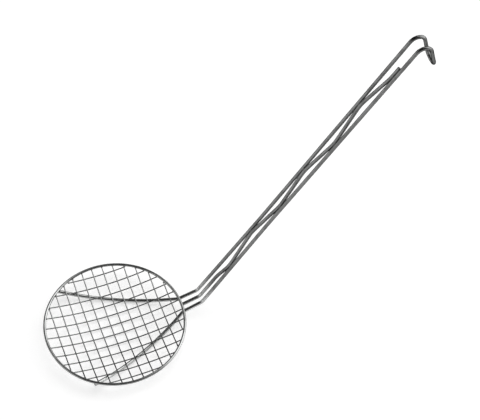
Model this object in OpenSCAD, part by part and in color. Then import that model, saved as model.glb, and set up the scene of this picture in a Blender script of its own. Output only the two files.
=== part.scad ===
// Kitchen skimmer: a shallow dish of welded wire mesh on a long wire handle that ends in a hook.
// Lengths are in millimetres. The rim lies level, the handle rises towards +X and +Z is up.
// The origin lies under the middle of the whole tool, level with its lowest wire.

/* [Rim] */
// Diameter of the rim, to the middle of its wire
rim_d = 160; // [130:1:200]
// Thickness of the rim wire
rim_wire = 3.2; // [2.8:0.1:4]

/* [Dish] */
// Depth of the dish from its rim to its middle
dish_depth = 12.5; // [10:0.5:20]
// Thickness of the mesh wires
mesh_wire = 1.4; // [1:0.1:1.6]
// Distance from one mesh row to the next
row_pitch = 12.9; // [11:0.1:18]
// Distance from one mesh column to the next
column_pitch = 12.3; // [11:0.1:18]
// How far the rows lie off the dish's middle, to the left
row_shift = -0.7; // [-4:0.1:4]
// How far the columns lie off the dish's middle, towards the handle
column_shift = 2.4; // [-4:0.1:4]
// Width left free between the rim and the outermost mesh wires
edge_free = 6; // [4:0.5:10]

/* [Supports] */
// Angle round the rim from the handle to the end of the left support wire
left_spread = 126.5; // [110:0.5:140]
// Angle round the rim from the handle to the end of the right support wire
right_spread = 123.5; // [110:0.5:140]
// Lean of the left support wire's curve away from the dish's middle
left_lean = -4; // [-10:1:40]
// Lean of the right support wire's curve away from the dish's middle
right_lean = 22; // [-10:1:40]
// Length that a wire's end reaches past the middle of the rim
end_reach = 0.6; // [0.2:0.1:3]

/* [Neck] */
// Length of the neck, from the rim to the foot of the handle
neck_length = 22.7; // [18:1:40]
// Height of the foot of the handle above the rim
neck_height = 3.6; // [0:0.1:6]
// Radius of the bend at the foot of the handle
neck_bend_r = 10; // [5:0.5:12]
// Radius of the bend where a handle wire passes under the rim
crossing_bend_r = 14; // [8:1:20]
// Distance between the two handle wires where they pass under the rim
crossing_gap = 18.2; // [15:0.1:24]

/* [Handle] */
// Thickness of the handle wires
handle_wire = 4.1; // [3:0.1:4.6]
// Angle at which the handle rises from the rim
handle_rise = 57.1; // [40:0.1:70]
// Length of the straight part of the handle
handle_length = 412.5; // [260:0.5:480]
// Distance between the two handle wires at the foot of the handle
foot_gap = 16.8; // [14:0.1:24]
// Distance between the two handle wires at the waist of the handle
waist_gap = 13.5; // [12:0.1:20]
// Distance between the two handle wires at the top of the handle
top_gap = 16.2; // [14:0.1:24]
// Length of the handle from its foot to its waist
waist_at = 140; // [100:1:200]

/* [Zigzag] */
// Length of the handle from its foot to where the zigzag leaves the middle
leave_middle = 38; // [20:1:42]
// Length of the handle from its foot to the first place where the zigzag touches
first_touch = 62.5; // [45:1:90]
// Length of the handle from one touch to the next
touch_pitch = 52; // [40:1:70]
// Radius of the zigzag's soft bends
zigzag_bend_r = 45; // [15:1:50]
// Length of the zigzag's last stretch, along the right handle wire
zigzag_tail = 12; // [6:1:18]

/* [Hook] */
// Radius of the hook's bend, to the middle of its wire
hook_bend_r = 9.5; // [8:0.5:16]
// Angle through which the hook turns
hook_turn = 131.5; // [110:0.5:145]
// Length of the hook's straight end
hook_tip = 17.8; // [14:0.1:40]
// Distance between the two wires at the hook's round end
tip_gap = 16.2; // [14:0.1:24]

/* [Hidden] */
// Facets round a wire, and round a full turn of a wire's arc, where the model is drawn as a mesh
wire_facets = 32;
arc_facets = 180;
left = 1;
right = -1;
// Air between two wires that are welded where they cross
weld_gap = 0.05;
// Air between the end of a mesh wire and the rim that it is welded to
seat_gap = 0.1;
// Straight stretch of a support wire just inside the rim
support_lead = 8;
// Radius of the slight bend at the handle's waist
waist_bend_r = 1200;
// Share of the hook's round end that is an arc, so that the two corners never meet
tip_round = 0.94;
// Shortest straight stretch that a wire has between two bends
least_run = 0.01;
// Share of the widest bends that the zigzag's stretches have room for
bend_share = 0.95;
// How much thicker a bend is than the straight wire, and how far a straight reaches into a bend
bend_swell = 0.06;
bend_lap = 0.3;

rim_r = rim_d / 2;
bend_wire = handle_wire + bend_swell;
wire_drop = (rim_wire + bend_wire) / 2 + weld_gap;

// The support wires, the rows and the columns lie on three spheres round one centre
support_sphere = (rim_r ^ 2 + dish_depth ^ 2) / (2 * dish_depth);
dish_slope = asin(rim_r / support_sphere);
support_z = -wire_drop / cos(dish_slope);
sphere_z = support_z + support_sphere - dish_depth;
row_sphere = support_sphere - (bend_wire + mesh_wire) / 2 - weld_gap;
column_sphere = row_sphere - mesh_wire - weld_gap;

// Places of the mesh wires: as many as fit inside the rim at their pitch
most_wires = ceil(rim_d / min(row_pitch, column_pitch));
row_places = places(row_pitch, row_shift);
column_places = places(column_pitch, column_shift);

// The handle's foot, its direction and the direction of the hook's end
foot_x = rim_r + neck_length;
handle_way = [cos(handle_rise), 0, sin(handle_rise)];
tip_way = [cos(handle_rise - hook_turn), 0, sin(handle_rise - hook_turn)];
hook_corner = handle_length + hook_bend_r * tan(hook_turn / 2);
tip_bend_r = tip_round * tip_gap / 2;
tip_length = hook_bend_r * tan(hook_turn / 2) + hook_tip + tip_bend_r;
touches = floor((handle_length - zigzag_tail - first_touch) / touch_pitch) + 1;

// Edges of the box round the whole tool, for the origin
low_x = -rim_r - rim_wire / 2;
high_x = tip_corner(left).x + bend_wire / 2;
low_row = sphere_z - sqrt(row_sphere ^ 2 - nearest(row_places) ^ 2) - mesh_wire / 2;
low_z = min(low_row, support_low(left), support_low(right));

function numbered(name, i) = str(name, i < 10 ? "_0" : "_", i);
function unit(v) = v / norm(v);
function mix(a, b, share) = a + (b - a) * share;
function nearest(list) = min([for (v = list) abs(v)]);
function places(pitch, shift) = [
    for (k = [-most_wires:most_wires])
        let (at = shift + (k + 0.5) * pitch)
        if (abs(at) <= rim_r - edge_free) at
];

// How far in from the rim's middle a mesh wire ends, so that its square end just meets the rim
function end_inset(sphere, offset) =
    let (
        z = sphere_z - sqrt(sphere ^ 2 - rim_r ^ 2),
        off_line = max(0, abs(z) * cos(dish_slope) - mesh_wire / 2),
        clear = rim_wire / 2 + seat_gap + mesh_wire / 2 * abs(offset) / rim_r,
        back = sqrt(clear ^ 2 - off_line ^ 2)
    )
    (back + z * sin(dish_slope)) * cos(dish_slope);

// A support wire's curve: a circle cut from its sphere by a plane that leans outward
function lean(side) = side == left ? left_lean : right_lean;
function spread(side) = side == left ? left_spread : right_spread;
function support_start(side) = [sqrt(rim_r ^ 2 - (crossing_gap / 2) ^ 2), side * crossing_gap / 2, support_z];
function support_finish(side) = [rim_r * cos(spread(side)), side * rim_r * sin(spread(side)), support_z];
function support_chord(side) = unit(support_finish(side) - support_start(side));
function support_down(side) =
    let (out = side * cross([0, 0, -1], support_chord(side)))
    [out.x * sin(lean(side)), out.y * sin(lean(side)), -cos(lean(side))];
function support_half(side) = norm(support_finish(side) - support_start(side)) / 2;
function support_centre(side) =
    let (
        middle = (support_start(side) + support_finish(side)) / 2,
        down = support_down(side),
        to_centre = [0, 0, sphere_z] - middle
    )
    middle + down * (down * to_centre);
function support_r(side) = norm(support_start(side) - support_centre(side));
function support_angle(side) = asin(support_half(side) / support_r(side));
function support_point(side, angle) =
    support_centre(side)
    + support_r(side) * (cos(angle) * support_down(side) + sin(angle) * support_chord(side));
function support_way(side, angle) =
    cos(angle) * support_chord(side) - sin(angle) * support_down(side);
function support_low(side) =
    support_centre(side).z - support_r(side) * cos(lean(side)) - bend_wire / 2;

// Places along the handle
function on_handle(length, y) = [foot_x, y, neck_height] + length * handle_way;
function half_gap(length) = length < waist_at
    ? mix(foot_gap, waist_gap, length / waist_at) / 2
    : mix(waist_gap, top_gap, (length - waist_at) / (hook_corner - waist_at)) / 2;
function tip_corner(side) = on_handle(hook_corner, side * tip_gap / 2) + tip_length * tip_way;

// One side of the handle wire, from the hook's round end down to the end of its support
function side_path(side) =
    let (
        degrees = 180 / PI / support_r(side),
        lead = support_angle(side) - support_lead * degrees,
        reach = support_angle(side) + end_reach * degrees,
        inner = support_point(side, -lead),
        inner_way = support_way(side, -lead)
    )
    [
        tip_corner(side),
        on_handle(hook_corner, side * top_gap / 2),
        on_handle(waist_at, side * waist_gap / 2),
        on_handle(0, side * foot_gap / 2),
        inner - support_lead * inner_way,
        inner + support_r(side) * tan((reach + lead) / 2) * inner_way,
        support_point(side, reach)
    ];
function side_bends(side) = [
    tip_bend_r, hook_bend_r, waist_bend_r, neck_bend_r, crossing_bend_r, support_r(side)
];
function reversed(list) = [for (i = [len(list) - 1:-1:0]) list[i]];

// The line that the zigzag's middle touches: how far the handle wire drifts outward there, and the line's Y
function drift(length) = length < waist_at
    ? atan((waist_gap - foot_gap) / 2 / waist_at)
    : atan((top_gap - waist_gap) / 2 / (hook_corner - waist_at));
function touch_y(length) = half_gap(length) - (bend_wire + weld_gap) / cos(drift(length));
function touch_at(k) = first_touch + k * touch_pitch;
function touch_side(k) = k % 2 == 0 ? right : left;

// Widest bends that fit the stretch after a touch, and the stretch from the middle to the first touch
function widest_after(k) =
    let (width = touch_y(touch_at(k)) + touch_y(touch_at(k + 1)))
    (touch_pitch ^ 2 + width ^ 2) / (4 * width);
function widest_first() =
    let (
        width = touch_y(first_touch),
        length = first_touch - leave_middle,
        slope = (sqrt(4 * length ^ 2 + 3 * width ^ 2) - 2 * length) / width
    )
    width * (1 + slope ^ 2) / (4 * slope ^ 2);
function touch_r(k) = min(
    zigzag_bend_r,
    bend_share * (k == 0 ? widest_first() : widest_after(k - 1)),
    bend_share * (k == touches - 1 ? widest_after(k - 1) : widest_after(k))
);

// Each soft bend is an arc that touches the handle wire: its centre as [length, Y towards that wire]
function arc_centre(k) =
    let (at = touch_at(k), out = drift(at))
    [at + touch_r(k) * sin(out), touch_y(at) - touch_r(k) * cos(out)];
// Slope of the tangent between two arcs that bend opposite ways
function tangent_slope(length, rise, radii) = asin(radii / norm([length, rise])) - atan(rise / length);
function slope_after(k) =
    let (here = arc_centre(k), next = arc_centre(k + 1))
    k == touches - 1
        ? -drift(touch_at(k))
        : tangent_slope(next.x - here.x, -here.y - next.y, touch_r(k) + touch_r(k + 1));
function slope_before(k) = k > 0
    ? slope_after(k - 1)
    : tangent_slope(arc_centre(0).x - leave_middle, -arc_centre(0).y, touch_r(0));
function zigzag_corner(k) =
    let (
        turn = (slope_before(k) + slope_after(k)) / 2,
        skew = (slope_after(k) - slope_before(k)) / 2,
        corner = arc_centre(k) + touch_r(k) / cos(turn) * [sin(skew), cos(skew)]
    )
    on_handle(corner.x, touch_side(k) * corner.y);
zigzag_top = touch_at(touches - 1);

// The zigzag's straight neck leaves the rim just under it: its slope, its place there and its direction
neck_slope = atan(neck_height / neck_length) + asin(wire_drop / norm([neck_length, neck_height]));
neck_start = [rim_r, 0, -wire_drop / cos(neck_slope)];
neck_way = [cos(neck_slope), 0, sin(neck_slope)];
zigzag_path = concat(
    [neck_start - end_reach * neck_way, on_handle(0, 0), on_handle(leave_middle, 0)],
    [for (k = [0:touches - 1]) zigzag_corner(k)],
    [on_handle(zigzag_top + zigzag_tail, touch_side(touches - 1) * touch_y(zigzag_top + zigzag_tail))]
);
zigzag_bends = concat([neck_bend_r, touch_r(0)], [for (k = [0:touches - 1]) touch_r(k)]);

// Ways along a wire's path: each stretch's direction, the angle at a corner and the side it bends to
function way_to(path, i) = unit(path[i] - path[i - 1]);
function turn_at(path, i) = acos(way_to(path, i) * way_to(path, i + 1));
function inward_at(path, i) =
    unit(way_to(path, i + 1) - way_to(path, i) * (way_to(path, i) * way_to(path, i + 1)));

// A round wire along a path: straight stretches, with each corner bent to its radius
module bent_wire(path, bends, thickness) {
    way = way_to(path, 1);
    tilt = acos(way.z);
    heading = atan2(way.y, way.x);
    across = [cos(tilt) * cos(heading), cos(tilt) * sin(heading), -sin(tilt)];
    translate(path[0])
        rotate([0, tilt, heading])
            wire_from(path, bends, thickness, 1, 0, across);
}

// The wire from one stretch onwards: the stretch, the bend at its end, and the rest beyond it
module wire_from(path, bends, thickness, i, used, across) {
    at_end = i == len(path) - 1;
    radius = at_end ? 0 : bends[i - 1];
    turn = at_end ? 0 : turn_at(path, i);
    cut = radius * tan(turn / 2);
    run = norm(path[i] - path[i - 1]) - used - cut;
    lap_in = i == 1 ? 0 : bend_lap;
    lap_out = at_end ? 0 : bend_lap;
    if (run > least_run)
        translate([0, 0, -lap_in])
            cylinder(d = thickness, h = run + lap_in + lap_out, $fn = wire_facets);
    if (!at_end) {
        way = way_to(path, i);
        inward = inward_at(path, i);
        roll = atan2(cross(across, inward) * way, across * inward);
        translate([0, 0, run])
            rotate([0, 0, roll])
                translate([radius, 0, 0]) {
                    rotate([90, 0, 180])
                        rotate_extrude(angle = turn, $fn = arc_facets)
                            translate([radius, 0])
                                circle(d = thickness + bend_swell, $fn = wire_facets);
                    rotate([0, turn, 0])
                        translate([-radius, 0, 0])
                            wire_from(path, bends, thickness, i + 1, cut,
                                inward * cos(turn) - way * sin(turn));
                }
    }
}

// One mesh wire: an arc of its sphere, cut by an upright plane along X at a distance from the middle
module mesh_arc(sphere, offset) {
    inset = end_inset(sphere, offset);
    arc_r = sqrt(sphere ^ 2 - offset ^ 2);
    reach = asin(sqrt((rim_r - inset) ^ 2 - offset ^ 2) / arc_r);
    translate([0, offset, sphere_z])
        rotate([90, 0, 0])
            rotate([0, 0, -90 - reach])
                rotate_extrude(angle = 2 * reach, $fn = arc_facets)
                    translate([arc_r, 0])
                        circle(d = mesh_wire, $fn = wire_facets);
}

// Moves a piece from the rim's middle to its place over the origin
module placed() {
    translate([-(low_x + high_x) / 2, 0, -low_z])
        children();
}

module rim_ring() {
    color("dimgray")
        placed()
            rotate_extrude($fn = arc_facets)
                translate([rim_r, 0])
                    circle(d = rim_wire, $fn = wire_facets);
}

module handle_wire() {
    path = concat(reversed(side_path(left)), side_path(right));
    bends = concat(reversed(side_bends(left)), side_bends(right));
    color("darkgray")
        placed()
            bent_wire(path, bends, handle_wire);
}

module zigzag_wire() {
    color("darkgray")
        placed()
            bent_wire(zigzag_path, zigzag_bends, handle_wire);
}

module mesh_row(i) {
    color("silver")
        placed()
            mesh_arc(row_sphere, row_places[i - 1]);
}

module mesh_column(i) {
    color("silver")
        placed()
            rotate([0, 0, 90])
                mesh_arc(column_sphere, -column_places[i - 1]);
}

rim_ring();
handle_wire();
zigzag_wire();
for (i = [1:len(row_places)])
    mesh_row(i);
for (i = [1:len(column_places)])
    mesh_column(i);
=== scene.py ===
# %% [markdown]
# # A kitchen skimmer of welded wire
#
# The skimmer is a shallow dish of wire mesh inside a ring, carried by one long wire. That wire runs under the
# dish, rises as the two sides of the handle and turns over as a hook. Its shape is already built to size, so
# this lesson gives it the finish of plated steel, the welds that hold it together, and a studio.

# %% Load the skimmer's wires
import math

import bpy
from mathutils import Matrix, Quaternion, Vector
from mathutils.bvhtree import BVHTree


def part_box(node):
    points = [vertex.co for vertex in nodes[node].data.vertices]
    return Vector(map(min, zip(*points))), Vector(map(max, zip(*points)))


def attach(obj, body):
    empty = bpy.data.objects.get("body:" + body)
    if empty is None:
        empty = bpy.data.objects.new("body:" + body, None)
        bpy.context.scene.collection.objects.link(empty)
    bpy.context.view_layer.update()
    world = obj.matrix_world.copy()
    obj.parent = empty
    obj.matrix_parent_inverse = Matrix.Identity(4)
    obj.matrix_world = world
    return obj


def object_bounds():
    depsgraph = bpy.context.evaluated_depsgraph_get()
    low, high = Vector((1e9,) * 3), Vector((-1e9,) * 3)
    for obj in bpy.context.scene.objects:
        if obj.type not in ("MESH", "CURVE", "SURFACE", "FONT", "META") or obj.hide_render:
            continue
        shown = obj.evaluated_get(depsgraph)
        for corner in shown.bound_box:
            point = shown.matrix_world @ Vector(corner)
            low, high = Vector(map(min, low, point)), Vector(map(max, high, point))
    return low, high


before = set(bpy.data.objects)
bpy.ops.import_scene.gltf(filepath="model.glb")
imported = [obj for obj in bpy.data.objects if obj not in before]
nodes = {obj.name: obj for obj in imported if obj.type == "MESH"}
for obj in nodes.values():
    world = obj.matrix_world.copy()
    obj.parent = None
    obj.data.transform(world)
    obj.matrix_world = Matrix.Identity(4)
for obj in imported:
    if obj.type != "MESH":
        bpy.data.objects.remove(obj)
cad_low, cad_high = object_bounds()
mm = 0.001
rows = sorted(name for name in nodes if name.startswith("mesh_row"))
columns = sorted(name for name in nodes if name.startswith("mesh_column"))
print("wires:", len(nodes), "of which rows", len(rows), "and columns", len(columns))

# %% [markdown]
# ## Where the mesh wires lie
#
# Welds sit where wires meet, so the first step is to find those places. A row lies at one Y and a column at
# one X, and both are arcs on spheres round a point above the dish. Two wires of a set give that point, because
# each one's lowest point is equally far from it.

# %% Measure the dish
rim_low, rim_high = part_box("rim_ring")
rim_centre = (rim_low + rim_high) / 2
rim_wire = rim_high.z - rim_low.z
rim_radius = (rim_high.x - rim_low.x - rim_wire) / 2


def middle(name, axis):
    low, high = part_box(name)
    return (low[axis] + high[axis]) / 2


def lowest_middle(name):
    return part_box(name)[0].z + mesh_wire / 2


def sphere_of(names, axis):
    """The sphere that a set of arcs lies on: the height of its centre, and its radius."""
    inner = min(names, key=lambda name: abs(middle(name, axis) - rim_centre[axis]))
    outer = names[0]
    a, b = (middle(name, axis) - rim_centre[axis] for name in (inner, outer))
    za, zb = lowest_middle(inner), lowest_middle(outer)
    centre = (zb * zb + b * b - za * za - a * a) / (2 * (zb - za))
    return centre, math.hypot(a, centre - za)


mesh_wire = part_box(rows[0])[1].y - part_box(rows[0])[0].y
row_centre, row_sphere = sphere_of(rows, 1)
column_centre, column_sphere = sphere_of(columns, 0)
print("mesh wire %.2f mm, spheres %.1f and %.1f mm" % (mesh_wire / mm, row_sphere / mm, column_sphere / mm))

# %% [markdown]
# ## The camera
#
# The picture is taken from above the dish's far left side with a long lens, so the handle hardly narrows
# towards its hook. The camera is set by where it stands round the dish, how high it looks down from, and where
# the rim's middle falls in the picture, which are all things that one can read from a picture.

# %% Place the camera
picture_width, picture_height = 480, 420
lens_in_pixels = 1500
rim_in_picture = (114.95, 322.81)
distance = 1.7144
turn, look_down, roll = math.radians(-23.014), math.radians(54.194), math.radians(3.083)

camera_data = bpy.data.cameras.new("camera")
camera = bpy.data.objects.new("camera", camera_data)
bpy.context.scene.collection.objects.link(camera)
camera_data.sensor_width = 36
camera_data.lens = lens_in_pixels * camera_data.sensor_width / picture_width
camera_data.clip_start, camera_data.clip_end = 0.05, 20

back = Vector((
    math.sin(turn) * math.cos(look_down),
    -math.cos(turn) * math.cos(look_down),
    math.sin(look_down),
))
facing = back.to_track_quat("Z", "Y") @ Quaternion((0, 0, 1), roll)
rim_from_camera = Vector((
    (rim_in_picture[0] - picture_width / 2) / lens_in_pixels,
    (picture_height / 2 - rim_in_picture[1]) / lens_in_pixels,
    -1,
)) * distance
camera.rotation_mode = "QUATERNION"
camera.rotation_quaternion = facing
camera.location = rim_centre - facing @ rim_from_camera
bpy.context.scene.camera = camera
print("camera at", [round(v, 3) for v in camera.location])

# %% [markdown]
# ## Helpers for node trees
#
# Every finish is made of nodes, and every repeated shape too. A few small helpers keep the trees readable: they
# add a node with its settings, join two sockets, do a sum, and start a group with named inputs and outputs.


# %% Node helpers
def add_node(tree, kind, **settings):
    """A new node, with its settings given by name."""
    node = tree.nodes.new(kind)
    for name, value in settings.items():
        setattr(node, name, value)
    return node


def set_inputs(node, **values):
    """The same node, with the values of its inputs set. An underline stands for a space in an input's name."""
    for name, value in values.items():
        node.inputs[name.replace("_", " ")].default_value = value
    return node


def link(tree, source, target):
    tree.links.new(source, target)


def math_node(tree, operation, *values):
    """A Math node whose inputs are numbers or sockets."""
    node = add_node(tree, "ShaderNodeMath", operation=operation)
    for socket, value in zip(node.inputs, values):
        if isinstance(value, (int, float)):
            socket.default_value = value
        else:
            link(tree, value, socket)
    return node.outputs[0]


def smooth_share(tree, value, low, high, **ends):
    """A share that goes smoothly from 0 to 1, or between other ends, while a value goes from low to high."""
    share = add_node(tree, "ShaderNodeMapRange", interpolation_type="SMOOTHSTEP")
    set_inputs(share, From_Min=low, From_Max=high, **ends)
    link(tree, value, share.inputs["Value"])
    return share.outputs["Result"]


def new_group(name, kind, inputs, outputs):
    """A node group with named inputs and outputs, each given as (name, socket type, value or None)."""
    tree = bpy.data.node_groups.new(name, kind)
    for side, sockets in (("INPUT", inputs), ("OUTPUT", outputs)):
        for label, socket_type, value in sockets:
            socket = tree.interface.new_socket(name=label, in_out=side, socket_type=socket_type)
            if value is not None:
                socket.default_value = value
    return tree, add_node(tree, "NodeGroupInput").outputs, add_node(tree, "NodeGroupOutput").inputs


# %% [markdown]
# ## Plated steel wire
#
# The wire has a thin plating that has gone grey with use. It is never even: it is a little cloudy from the
# bath, it has fine lines and scuffs from washing, and it is duller in places. One shader group makes these
# three effects from noise at three scales. It also darkens the wire above the dish, which is painted shade
# standing in for the darker reflection that the handle shows there. Each material uses the group with its own
# colours and sizes. The shader itself stays in the material, with its metallic value and its dark edge tint
# set on its own sockets.

# %% The plating group
cloud_fade = (0.38, 0.68)
grain_scale = 1400
scuff_scale = 420
scuff_fade = (0.56, 0.72)
scuff_darkness = 0.6
# Heights between which the painted shade comes in, darkening the wire above the dish.
painted_shade_heights = (18 * mm, 48 * mm)


def make_plating_group():
    """Clouds, grain, scuffs and painted shade above the dish, put out as a colour, a roughness and a height."""
    tree, given, result = new_group(
        "plating", "ShaderNodeTree",
        [
            ("Vector", "NodeSocketVector", None),
            ("Bright", "NodeSocketColor", (0.5, 0.5, 0.5, 1)),
            ("Dull", "NodeSocketColor", (0.3, 0.3, 0.3, 1)),
            ("Cloud Scale", "NodeSocketFloat", 90.0),
            ("Smooth", "NodeSocketFloat", 0.2),
            ("Rough", "NodeSocketFloat", 0.4),
            ("Tarnish", "NodeSocketFloat", 0.0),
        ],
        [
            ("Color", "NodeSocketColor", None),
            ("Roughness", "NodeSocketFloat", None),
            ("Height", "NodeSocketFloat", None),
        ],
    )
    clouds = set_inputs(add_node(tree, "ShaderNodeTexNoise"), Detail=3.0, Roughness=0.55)
    link(tree, given["Vector"], clouds.inputs["Vector"])
    link(tree, given["Cloud Scale"], clouds.inputs["Scale"])
    dull_share = smooth_share(tree, clouds.outputs["Fac"], *cloud_fade)
    grain = set_inputs(add_node(tree, "ShaderNodeTexNoise"), Scale=grain_scale, Detail=2.0, Roughness=0.6)
    link(tree, given["Vector"], grain.inputs["Vector"])
    scuffs = set_inputs(add_node(tree, "ShaderNodeTexNoise"), Scale=scuff_scale, Detail=4.0, Roughness=0.7)
    set_inputs(scuffs, Distortion=1.5)
    link(tree, given["Vector"], scuffs.inputs["Vector"])
    scuff_share = smooth_share(tree, scuffs.outputs["Fac"], *scuff_fade)

    dark_scuffs = math_node(tree, "MULTIPLY", scuff_share, scuff_darkness)
    color = add_node(tree, "ShaderNodeMix", data_type="RGBA")
    link(tree, math_node(tree, "MAXIMUM", dull_share, dark_scuffs), color.inputs[0])
    link(tree, given["Bright"], color.inputs[6])
    link(tree, given["Dull"], color.inputs[7])

    # Painted shade: the colour is darkened above the dish, in place of the darker reflection that the handle
    # shows there.
    split = add_node(tree, "ShaderNodeSeparateXYZ")
    link(tree, given["Vector"], split.inputs[0])
    above_dish = smooth_share(tree, split.outputs["Z"], *painted_shade_heights)
    painted_shade_amount = math_node(tree, "MULTIPLY", above_dish, given["Tarnish"])
    painted_shade_color = add_node(tree, "ShaderNodeVectorMath", operation="SCALE")
    link(tree, color.outputs[2], painted_shade_color.inputs[0])
    link(tree, math_node(tree, "SUBTRACT", 1.0, painted_shade_amount), painted_shade_color.inputs["Scale"])
    link(tree, painted_shade_color.outputs[0], result["Color"])

    roughness = add_node(tree, "ShaderNodeMix", data_type="FLOAT")
    link(tree, math_node(tree, "MAXIMUM", dull_share, scuff_share), roughness.inputs[0])
    link(tree, given["Smooth"], roughness.inputs[2])
    link(tree, given["Rough"], roughness.inputs[3])
    link(tree, roughness.outputs[0], result["Roughness"])

    grain_height = math_node(tree, "MULTIPLY", grain.outputs["Fac"], 0.5)
    link(tree, math_node(tree, "SUBTRACT", grain_height, scuff_share), result["Height"])
    return tree


plating = make_plating_group()
print("plating group has", len(plating.nodes), "nodes")


# %% Materials for the wires and the welds
def plated_wire(name, bright, dull, edge, cloud_scale, smooth, rough, bump, painted_shade=0.0):
    """Plated steel: two greys, a tint for grazing angles, two levels of polish, how deep its scuffs are and its
    painted shade.
    """
    material = bpy.data.materials.new(name)
    material.use_nodes = True
    tree = material.node_tree
    shader = tree.nodes["Principled BSDF"]
    shader.inputs["Metallic"].default_value = 1.0
    shader.inputs["Specular Tint"].default_value = (edge, edge, edge, 1)
    place = add_node(tree, "ShaderNodeTexCoord")
    group = add_node(tree, "ShaderNodeGroup", node_tree=plating)
    link(tree, place.outputs["Object"], group.inputs["Vector"])
    set_inputs(group, Bright=(*bright, 1), Dull=(*dull, 1), Cloud_Scale=cloud_scale)
    set_inputs(group, Smooth=smooth, Rough=rough, Tarnish=painted_shade)
    surface = set_inputs(add_node(tree, "ShaderNodeBump"), Strength=0.5, Distance=bump)
    link(tree, group.outputs["Height"], surface.inputs["Height"])
    link(tree, group.outputs["Color"], shader.inputs["Base Color"])
    link(tree, group.outputs["Roughness"], shader.inputs["Roughness"])
    link(tree, surface.outputs["Normal"], shader.inputs["Normal"])
    return material


rim_steel = plated_wire(
    "rim_steel", bright=(0.42, 0.426, 0.422), dull=(0.32, 0.324, 0.32), edge=0.0,
    cloud_scale=80, smooth=0.04, rough=0.1, bump=0.02 * mm,
)
# The handle's steel carries painted shade, which darkens its colour above the dish.
handle_steel = plated_wire(
    "handle_steel", bright=(0.57, 0.577, 0.572), dull=(0.43, 0.435, 0.43), edge=0.0,
    cloud_scale=90, smooth=0.16, rough=0.28, bump=0.02 * mm, painted_shade=0.68,
)
mesh_steel = plated_wire(
    "mesh_steel", bright=(0.35, 0.355, 0.352), dull=(0.26, 0.264, 0.26), edge=0.0,
    cloud_scale=140, smooth=0.05, rough=0.12, bump=0.01 * mm,
)
weld_steel = plated_wire(
    "weld_steel", bright=(0.2, 0.198, 0.195), dull=(0.1, 0.098, 0.096), edge=0.2,
    cloud_scale=500, smooth=0.3, rough=0.5, bump=0.08 * mm,
)

finishes = {"rim_ring": rim_steel, "handle_wire": handle_steel, "zigzag_wire": handle_steel}
finishes.update({name: mesh_steel for name in rows + columns})
for name, material in finishes.items():
    nodes[name].data.materials.clear()
    nodes[name].data.materials.append(material)
print("materials:", rim_steel.name, handle_steel.name, mesh_steel.name, weld_steel.name)

# %% [markdown]
# ## Welds
#
# Where two wires cross, a spot weld squeezes them together, and a little steel flows out as a collar. Where a
# mesh wire ends at the rim, the weld leaves a small blob, and where two wires run side by side it fills the
# groove between them. There are well over a hundred welds, so one Geometry Nodes tree places a bead on each
# point of a mesh. The bead turns to the two directions that the point carries, and a fixed seed makes each one
# a little different in size.


# %% The bead tree
def make_bead_tree():
    tree, given, result = new_group(
        "weld_beads", "GeometryNodeTree",
        [
            ("Geometry", "NodeSocketGeometry", None),
            ("Length", "NodeSocketFloat", 0.001),
            ("Width", "NodeSocketFloat", 0.001),
            ("Height", "NodeSocketFloat", 0.0006),
            ("Variation", "NodeSocketFloat", 0.15),
            ("Seed", "NodeSocketInt", 3),
            ("Material", "NodeSocketMaterial", None),
        ],
        [("Geometry", "NodeSocketGeometry", None)],
    )
    bead = set_inputs(add_node(tree, "GeometryNodeMeshUVSphere"), Segments=10, Rings=6, Radius=1.0)
    turned = None
    for label, axis in (("upward", "Z"), ("along", "X")):
        carried = add_node(tree, "GeometryNodeInputNamedAttribute", data_type="FLOAT_VECTOR")
        carried.inputs["Name"].default_value = label
        aligned = add_node(tree, "FunctionNodeAlignRotationToVector", axis=axis)
        link(tree, carried.outputs["Attribute"], aligned.inputs["Vector"])
        if turned:
            aligned.pivot_axis = "Z"
            link(tree, turned.outputs["Rotation"], aligned.inputs["Rotation"])
        turned = aligned
    size = add_node(tree, "ShaderNodeCombineXYZ")
    link(tree, given["Length"], size.inputs["X"])
    link(tree, given["Width"], size.inputs["Y"])
    link(tree, given["Height"], size.inputs["Z"])
    spread = add_node(tree, "FunctionNodeRandomValue", data_type="FLOAT")
    link(tree, math_node(tree, "SUBTRACT", 1.0, given["Variation"]), spread.inputs[2])
    link(tree, math_node(tree, "ADD", 1.0, given["Variation"]), spread.inputs[3])
    link(tree, given["Seed"], spread.inputs["Seed"])
    varied = add_node(tree, "ShaderNodeVectorMath", operation="SCALE")
    link(tree, size.outputs[0], varied.inputs[0])
    link(tree, spread.outputs[1], varied.inputs["Scale"])

    placed = add_node(tree, "GeometryNodeInstanceOnPoints")
    link(tree, given["Geometry"], placed.inputs["Points"])
    link(tree, bead.outputs["Mesh"], placed.inputs["Instance"])
    link(tree, turned.outputs["Rotation"], placed.inputs["Rotation"])
    link(tree, varied.outputs[0], placed.inputs["Scale"])
    real = add_node(tree, "GeometryNodeRealizeInstances")
    link(tree, placed.outputs["Instances"], real.inputs["Geometry"])
    smooth = add_node(tree, "GeometryNodeSetShadeSmooth")
    link(tree, real.outputs["Geometry"], smooth.inputs["Geometry"])
    finish = add_node(tree, "GeometryNodeSetMaterial")
    link(tree, smooth.outputs["Geometry"], finish.inputs["Geometry"])
    link(tree, given["Material"], finish.inputs["Material"])
    link(tree, finish.outputs["Geometry"], result["Geometry"])
    return tree


bead_tree = make_bead_tree()
print("bead tree has", len(bead_tree.nodes), "nodes")


# %% Turn points into beads
def set_tree_input(modifier, label, value):
    """Sets a modifier's input, which Blender knows by its identifier and not by its label."""
    for item in modifier.node_group.interface.items_tree:
        if item.in_out == "INPUT" and item.name == label:
            modifier[item.identifier] = value


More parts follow.
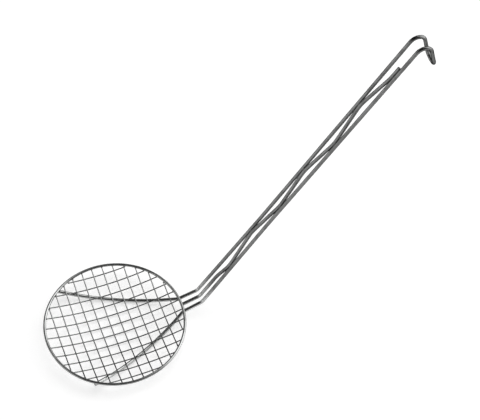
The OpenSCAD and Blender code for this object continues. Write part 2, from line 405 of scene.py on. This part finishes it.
def make_beads(name, welds, size, seed):
    """One piece of beads with these half axes. A weld is (place, way of the short axis, of the long one)."""
    mesh = bpy.data.meshes.new(name + "_points")
    mesh.from_pydata([place for place, _, _ in welds], [], [])
    for label, which in (("upward", 1), ("along", 2)):
        carried = mesh.attributes.new(label, "FLOAT_VECTOR", "POINT")
        for item, weld in zip(carried.data, welds):
            item.vector = weld[which]
    source = bpy.data.objects.new(name + "_points", mesh)
    bpy.context.scene.collection.objects.link(source)
    modifier = source.modifiers.new("weld_beads", "NODES")
    modifier.node_group = bead_tree
    values = {"Length": size[0], "Width": size[1], "Height": size[2]}
    values.update({"Variation": 0.18, "Seed": seed, "Material": weld_steel})
    for label, value in values.items():
        set_tree_input(modifier, label, value)
    made = bpy.data.meshes.new_from_object(source.evaluated_get(bpy.context.evaluated_depsgraph_get()))
    bpy.data.objects.remove(source)
    made.name = name
    piece = bpy.data.objects.new(name, made)
    bpy.context.scene.collection.objects.link(piece)
    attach(piece, "root")
    print(name, "has", len(welds), "beads and", len(made.polygons), "faces")
    return piece


# %% [markdown]
# ## Beads where rows and columns cross
#
# A row and a column meet between their two spheres. Every pair of places inside the rim is a crossing, and the
# bead's short axis points at the spheres' centre, so that it lies like a collar round the touching wires.

# %% Crossings of the mesh
crossing_sphere = (row_sphere + column_sphere) / 2
crossing_centre = Vector((rim_centre.x, rim_centre.y, (row_centre + column_centre) / 2))
crossings = []
for row in rows:
    for column in columns:
        x = middle(column, 0) - rim_centre.x
        y = middle(row, 1) - rim_centre.y
        if math.hypot(x, y) < rim_radius - rim_wire:
            place = crossing_centre + Vector((x, y, -math.sqrt(crossing_sphere**2 - x * x - y * y)))
            crossings.append((place, (crossing_centre - place).normalized(), Vector((1, 0, 0))))
mesh_welds = make_beads("mesh_welds", crossings, (1.0 * mm, 1.0 * mm, 0.5 * mm), 3)

# %% [markdown]
# ## Beads at the rim
#
# Each mesh wire ends against the rim's inner side. The bead is a blob there, a little wider than the wire, and
# sits halfway into the gap between the wire's end and the rim.

# %% Ends of the mesh wires
rim_ends = []
for name in rows + columns:
    along, across = (0, 1) if name in rows else (1, 0)
    low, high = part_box(name)
    top = high.z - mesh_wire / 2
    for end in (low[along], high[along]):
        place = Vector((0, 0, top))
        place[along] = end
        place[across] = middle(name, across)
        outward = Vector((place.x - rim_centre.x, place.y - rim_centre.y, 0)).normalized()
        rim_ends.append((place, outward, Vector((-outward.y, outward.x, 0))))
rim_welds = make_beads("rim_welds", rim_ends, (1.05 * mm, 1.05 * mm, 0.75 * mm), 5)

# %% [markdown]
# ## Beads on the thick wires
#
# The handle's wire carries the dish: the rows rest on it and it is welded under the rim, and the zigzag is
# welded to it wherever the two touch. These places have no simple formula, so they are looked up on the meshes.
# A step along one wire measures how far the other wire's surface is, and a weld sits where that is least.


# %% Look up where wires touch
def surface_of(name):
    mesh = nodes[name].data
    return BVHTree.FromPolygons([v.co for v in mesh.vertices], [p.vertices for p in mesh.polygons])


def touches(path, thickness, surface, reach):
    """Welds along a path of points where it passes closest to a surface, if it comes within reach of it."""
    found = [surface.find_nearest(point) for point in path]
    gaps = [hit[3] - thickness / 2 for hit in found]
    welds = []
    for i in range(1, len(path) - 1):
        if gaps[i] < reach and gaps[i] <= gaps[i - 1] and gaps[i] < gaps[i + 1]:
            towards = (found[i][0] - path[i]).normalized()
            place = path[i] + towards * (thickness + gaps[i]) / 2
            welds.append((place, towards, (path[i + 1] - path[i - 1]).normalized()))
    return welds


def row_path(name, steps=600):
    """Points along the middle of a mesh row, which follows its sphere."""
    low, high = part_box(name)
    y = middle(name, 1) - rim_centre.y
    path = []
    for k in range(steps + 1):
        x = low.x + (high.x - low.x) * k / steps - rim_centre.x
        z = row_centre - math.sqrt(row_sphere**2 - x * x - y * y)
        path.append(Vector((rim_centre.x + x, rim_centre.y + y, z)))
    return path


handle_surface = surface_of("handle_wire")
zigzag_surface = surface_of("zigzag_wire")
weld_reach = 0.3 * mm
row_welds = []
for name in rows:
    row_welds += touches(row_path(name), mesh_wire, handle_surface, weld_reach)
support_welds = make_beads("support_welds", row_welds, (1.5 * mm, 1.2 * mm, 0.55 * mm), 7)

# %% [markdown]
# ## Welds under the rim
#
# The two necks of the handle, the two ends of its supports and the start of the zigzag lie under the ring. The
# ring is a plain circle, so a walk once round it finds all five. The walk starts at the far side, where nothing
# touches, so that no touch falls on its ends.

# %% Walk round the rim
rim_steps = 1440
rim_path = []
for k in range(rim_steps):
    angle = 2 * math.pi * k / rim_steps
    rim_path.append(rim_centre + rim_radius * Vector((math.cos(angle), math.sin(angle), 0)))
far_first = rim_path[rim_steps // 2:] + rim_path[:rim_steps // 2]
under_rim = touches(far_first, rim_wire, handle_surface, weld_reach)
under_rim += touches(far_first, rim_wire, zigzag_surface, weld_reach)
neck_welds = make_beads("neck_welds", under_rim, (1.5 * mm, 1.5 * mm, 0.6 * mm), 9)

# %% [markdown]
# ## Welds of the zigzag
#
# At each of its bends the zigzag runs beside one side of the handle for a short way, and its upper end lies
# along it too. The points of its mesh that come close to the handle fall into groups, and each group gets one
# long bead that fills the groove.


# %% Group the points that come close
def side_by_side(name, surface, reach, apart):
    """One weld in the middle of each group of a wire's points that come close to another wire's surface."""
    near = []
    for vertex in nodes[name].data.vertices:
        place, _, _, gap = surface.find_nearest(vertex.co)
        if gap < reach:
            near.append(((place + vertex.co) / 2, (vertex.co - place).normalized()))
    near.sort(key=lambda item: item[0].z)
    groups = []
    for point, towards in near:
        if not groups or (point - groups[-1][-1][0]).length > apart:
            groups.append([])
        groups[-1].append((point, towards))
    welds = []
    for group in groups:
        place = sum((point for point, _ in group), Vector()) / len(group)
        towards = sum((way for _, way in group), Vector()).normalized()
        welds.append((place, towards, (group[-1][0] - group[0][0]).normalized()))
        print("zigzag weld at", [round(c / mm, 1) for c in place], "from", len(group), "points")
    return welds


groups_apart = 12 * mm
zigzag_contacts = side_by_side("zigzag_wire", handle_surface, weld_reach, groups_apart)
zigzag_welds = make_beads("zigzag_welds", zigzag_contacts, (4.0 * mm, 1.4 * mm, 0.6 * mm), 11)

# %% [markdown]
# ## The studio
#
# The skimmer stands on white paper in a dim room with a few large soft light boxes. A plated wire is a mirror,
# so what one sees along it is the room: it is light where it mirrors a box or the paper, and nearly black where
# it mirrors the dim room overhead. That is why the ring is dark at its top and bottom and light at its sides.

# %% Floor
floor_size = 2.4
floor_gap = 0.2 * mm
half = floor_size / 2
level = cad_low.z - floor_gap
corners = [(-half, -half, level), (half, -half, level), (half, half, level), (-half, half, level)]
floor_mesh = bpy.data.meshes.new("floor")
floor_mesh.from_pydata(corners, [], [(0, 1, 2, 3)])
floor = bpy.data.objects.new("floor", floor_mesh)
bpy.context.scene.collection.objects.link(floor)
print("floor is %.1f m wide" % floor_size)

# %% [markdown]
# ## White paper
#
# Paper that is only lit would need lamps so strong that they change the colour of the steel. So it glows a
# little, but only for what sees it: the camera and mirrors. A shadow still darkens the part that is lit.

# %% Paper that glows for the camera and for mirrors
paper_grey = 0.6
paper_glow = 0.575
paper = bpy.data.materials.new("white_paper")
paper.use_nodes = True
tree = paper.node_tree
tree.nodes.clear()
diffuse = add_node(tree, "ShaderNodeBsdfDiffuse")
diffuse.inputs["Color"].default_value = (paper_grey, paper_grey, paper_grey, 1)
glow = add_node(tree, "ShaderNodeEmission")
path = add_node(tree, "ShaderNodeLightPath")
mirrored = math_node(tree, "MAXIMUM", path.outputs["Is Glossy Ray"], path.outputs["Is Transmission Ray"])
seen = math_node(tree, "MAXIMUM", path.outputs["Is Camera Ray"], mirrored)
link(tree, math_node(tree, "MULTIPLY", seen, paper_glow), glow.inputs["Strength"])
both = add_node(tree, "ShaderNodeAddShader")
link(tree, diffuse.outputs[0], both.inputs[0])
link(tree, glow.outputs[0], both.inputs[1])
link(tree, both.outputs[0], add_node(tree, "ShaderNodeOutputMaterial").inputs["Surface"])
floor_mesh.materials.append(paper)
print("paper:", paper.name)

# %% [markdown]
# ## The room
#
# The room is a world of nodes: dim overhead, pale low down behind the paper, and with round light boxes that
# fade at their rims. A box is bright where the way one looks is close to the way to its middle, and the dot
# product of the two ways tells how close that is.

# %% The room and its light boxes
wall_fade = (0.13, 0.26)


def direction(turn, rise):
    """The way to a place that is turned from +X round +Z and raised from the floor, both in degrees."""
    turn, rise = math.radians(turn), math.radians(rise)
    return Vector((math.cos(turn) * math.cos(rise), math.sin(turn) * math.cos(rise), math.sin(rise)))


def make_room(dim, wall, boxes):
    """A dim world with a pale low wall and boxes of (turn, rise, core's radius, outer radius, strength)."""
    world = bpy.data.worlds.new("room")
    world.use_nodes = True
    tree = world.node_tree
    place = add_node(tree, "ShaderNodeTexCoord")
    split = add_node(tree, "ShaderNodeSeparateXYZ")
    link(tree, place.outputs["Generated"], split.inputs[0])
    strength = smooth_share(tree, split.outputs["Z"], *wall_fade, To_Min=wall, To_Max=dim)
    for turn, rise, core, outer, light in boxes:
        towards = add_node(tree, "ShaderNodeVectorMath", operation="DOT_PRODUCT")
        link(tree, place.outputs["Generated"], towards.inputs[0])
        towards.inputs[1].default_value = direction(turn, rise)
        rim_cosine, core_cosine = math.cos(math.radians(outer)), math.cos(math.radians(core))
        box = smooth_share(tree, towards.outputs["Value"], rim_cosine, core_cosine, To_Max=light)
        strength = math_node(tree, "ADD", box, strength)
    link(tree, strength, tree.nodes["Background"].inputs["Strength"])
    tree.nodes["Background"].inputs["Color"].default_value = (1, 1, 1, 1)
    return world


light_boxes = [
    (-4, 14, 20, 44, 2.0),
    (24, 50, 20, 34, 1.5),
    (178, 18, 12, 38, 0.6),
]
bpy.context.scene.world = make_room(dim=0.06, wall=0.9, boxes=light_boxes)
bpy.context.scene.view_settings.view_transform = "Standard"
print("light boxes:", len(light_boxes))

# %% [markdown]
# ## A lamp over the paper
#
# The boxes alone leave the paper grey. One large soft lamp overhead lights it and gives the dish its faint
# shadow. Mirrors don't see this lamp, because on the wires it would be a white line that the real ones lack.


# %% Lamp over the paper
def soft_lamp(name, place, size, power):
    """A square lamp at a place, turned to the middle of the skimmer and unseen in mirrors."""
    data = bpy.data.lights.new(name, "AREA")
    data.shape = "SQUARE"
    data.size = size
    data.energy = power
    lamp = bpy.data.objects.new(name, data)
    bpy.context.scene.collection.objects.link(lamp)
    lamp.location = place
    target = (cad_low + cad_high) / 2
    lamp.rotation_mode = "QUATERNION"
    lamp.rotation_quaternion = (Vector(place) - target).to_track_quat("Z", "Y")
    lamp.visible_glossy = False
    return lamp


top_lamp = soft_lamp("top_lamp", place=(0.3, 0.5, 2.0), size=1.8, power=14)
print("lamp:", top_lamp.name)
